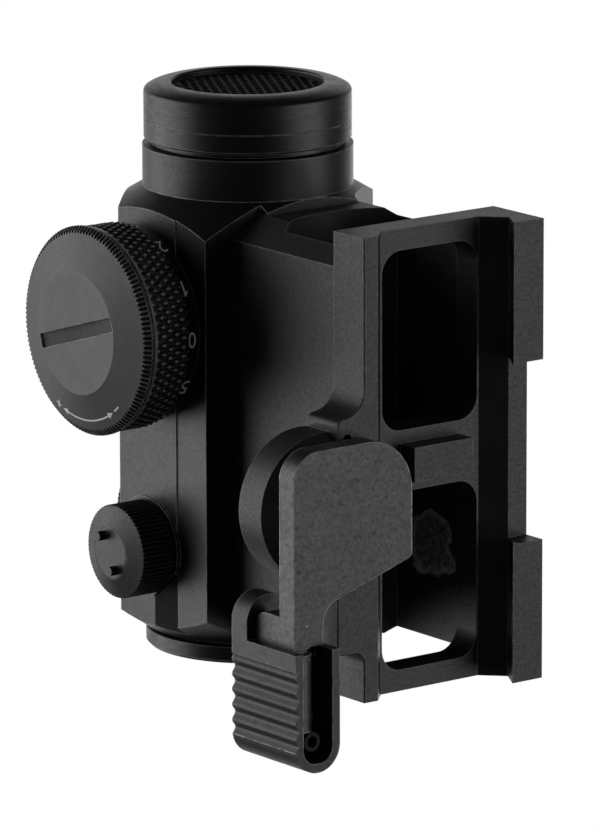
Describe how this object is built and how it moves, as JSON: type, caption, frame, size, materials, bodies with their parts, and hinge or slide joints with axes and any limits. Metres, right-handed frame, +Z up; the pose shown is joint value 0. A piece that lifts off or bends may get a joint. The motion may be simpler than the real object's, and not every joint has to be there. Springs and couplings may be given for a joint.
{
  "type": "red dot finder",
  "caption": "Compact red dot sight with honeycomb filter, knurled brightness dial and capped adjusters, on a riser with a quick-release rail clamp and locking lever.",
  "frame": {"origin": "middle of the rail clamp, on the plane of the rail's flat top", "axes": "+X to the sight's right side with the dial and lever, +Y forward along the optical axis towards the filter, +Z up from the rail to the sight"},
  "size_m": [0.044, 0.0788, 0.0688],
  "materials": {
    "mount_anodise": "matte bead-blasted hard anodise",
    "body_anodise": "satin black anodise",
    "ring_anodise": "satin black anodise",
    "cap_anodise": "satin black anodise on notched sides",
    "dial_anodise": "satin black anodise on a knurled side",
    "dial_cap_anodise": "satin black anodise, fine turned face",
    "comb_black": "flat black coating on thin foil walls",
    "inner_black": "flat black inside finish",
    "lever_steel": "black oxide, lightly scratched, worn edges",
    "slide_anodise": "satin black, small chips at the edges",
    "screw_steel": "black oxide",
    "bright_steel": "plain ground steel",
    "cell_steel": "nickel-plated can",
    "adjuster_brass": "plain turned brass",
    "coated_glass": "anti-reflection coated",
    "seal_rubber": "matte rubber",
    "board_plastic": "dark laminate",
    "emitter_resin": "clear red resin"
  },
  "bodies": {
    "base": {"riser_base": "mount_anodise", "sight_screws": "screw_steel", "housing": "body_anodise", "objective_lens": "coated_glass", "lens_cell": "inner_black", "lens_seal": "seal_rubber", "lens_retainer": "inner_black", "rear_window": "coated_glass", "rear_seal": "seal_rubber", "eyepiece_ring": "ring_anodise", "windage_cap_seal": "seal_rubber", "elevation_cap_seal": "seal_rubber", "windage_spring": "bright_steel", "elevation_spring": "bright_steel", "click_spring": "bright_steel", "circuit_board": "board_plastic", "dial_clip": "bright_steel", "lever_washer": "bright_steel"},
    "tilt_ring": {"pivot_ring": "bright_steel"},
    "optic": {"optic_tube": "inner_black", "emitter_holder": "board_plastic", "led_emitter": "emitter_resin"},
    "windage_wheel": {"windage_adjuster": "adjuster_brass"},
    "windage_pin": {"windage_plunger": "bright_steel"},
    "elevation_wheel": {"elevation_adjuster": "adjuster_brass"},
    "elevation_pin": {"elevation_plunger": "bright_steel"},
    "windage_cover": {"windage_cap": "cap_anodise"},
    "elevation_cover": {"elevation_cap": "cap_anodise"},
    "switch_dial": {"dial": "dial_anodise", "dial_seal": "seal_rubber", "coin_cell": "cell_steel", "contact_spring": "adjuster_brass", "battery_cap_seal": "seal_rubber"},
    "battery_door": {"battery_cap": "dial_cap_anodise"},
    "click": {"click_ball": "bright_steel"},
    "filter": {"filter_rear_ring": "ring_anodise", "filter_front_ring": "ring_anodise", "honeycomb": "comb_black"},
    "lever": {"clamp_lever": "lever_steel", "pivot_stud": "bright_steel", "adjusting_nut": "screw_steel", "nut_spring": "bright_steel", "lock_spring": "bright_steel"},
    "lock": {"lock_slide": "slide_anodise", "lock_screw": "screw_steel"}
  },
  "joints": [
    {"name": "dial_turn", "type": "hinge", "parent": "base", "child": "switch_dial", "pos_m": [0.02, 0.0133, 0.0378], "axis": [1, 0, 0], "range_deg": [-180, 150]},
    {"name": "battery_cap_turn", "type": "hinge", "parent": "switch_dial", "child": "battery_door", "pos_m": [0.0248, 0.0133, 0.0378], "axis": [1, 0, 0], "continuous": true},
    {"name": "click_ball_rise", "type": "slide", "parent": "base", "child": "click", "axis": [0, 0, 1], "range_m": [0, 0.0003], "deforming": ["click_spring"]},
    {"name": "windage_cap_turn", "type": "hinge", "parent": "base", "child": "windage_cover", "pos_m": [0.0162, -0.01645, 0.0378], "axis": [1, 0, 0], "continuous": true},
    {"name": "elevation_cap_turn", "type": "hinge", "parent": "base", "child": "elevation_cover", "pos_m": [0, -0.01645, 0.0532], "axis": [0, 0, 1], "continuous": true},
    {"name": "windage_turn", "type": "hinge", "parent": "base", "child": "windage_wheel", "pos_m": [0.0162, -0.01645, 0.0378], "axis": [1, 0, 0], "range_deg": [-180, 180]},
    {"name": "windage_drive", "type": "slide", "parent": "base", "child": "windage_pin", "axis": [1, 0, 0], "range_m": [-0.00025, 0.00025]},
    {"name": "elevation_turn", "type": "hinge", "parent": "base", "child": "elevation_wheel", "pos_m": [0, -0.01645, 0.0532], "axis": [0, 0, 1], "range_deg": [-180, 180]},
    {"name": "elevation_drive", "type": "slide", "parent": "base", "child": "elevation_pin", "axis": [0, 0, 1], "range_m": [-0.00025, 0.00025]},
    {"name": "optic_yaw", "type": "hinge", "parent": "base", "child": "tilt_ring", "pos_m": [0, 0.023, 0.0378], "axis": [0, 0, 1], "range_deg": [-0.38, 0.38], "deforming": ["windage_spring"]},
    {"name": "optic_pitch", "type": "hinge", "parent": "tilt_ring", "child": "optic", "pos_m": [0, 0.023, 0.0378], "axis": [1, 0, 0], "range_deg": [-0.38, 0.38], "deforming": ["elevation_spring"]},
    {"name": "filter_turn", "type": "hinge", "parent": "base", "child": "filter", "pos_m": [0, 0.036, 0.0378], "axis": [0, 1, 0], "continuous": true},
    {"name": "lever_swing", "type": "hinge", "parent": "base", "child": "lever", "pos_m": [0.0178, -0.002, 0], "axis": [0, 0, 1], "range_deg": [0, 90]},
    {"name": "lock_pull", "type": "slide", "parent": "lever", "child": "lock", "axis": [0, -1, 0], "range_m": [0, 0.003], "stiffness_N_per_m": 400, "springref_m": -0.001, "deforming": ["lock_spring"]}
  ],
  "couplings": [
    {"joint": "windage_turn", "follows": "windage_drive", "rad_per_m": 12566},
    {"joint": "optic_yaw", "follows": "windage_drive", "rad_per_m": 25.349},
    {"joint": "elevation_turn", "follows": "elevation_drive", "rad_per_m": 12566},
    {"joint": "optic_pitch", "follows": "elevation_drive", "rad_per_m": -25.349}
  ]
}
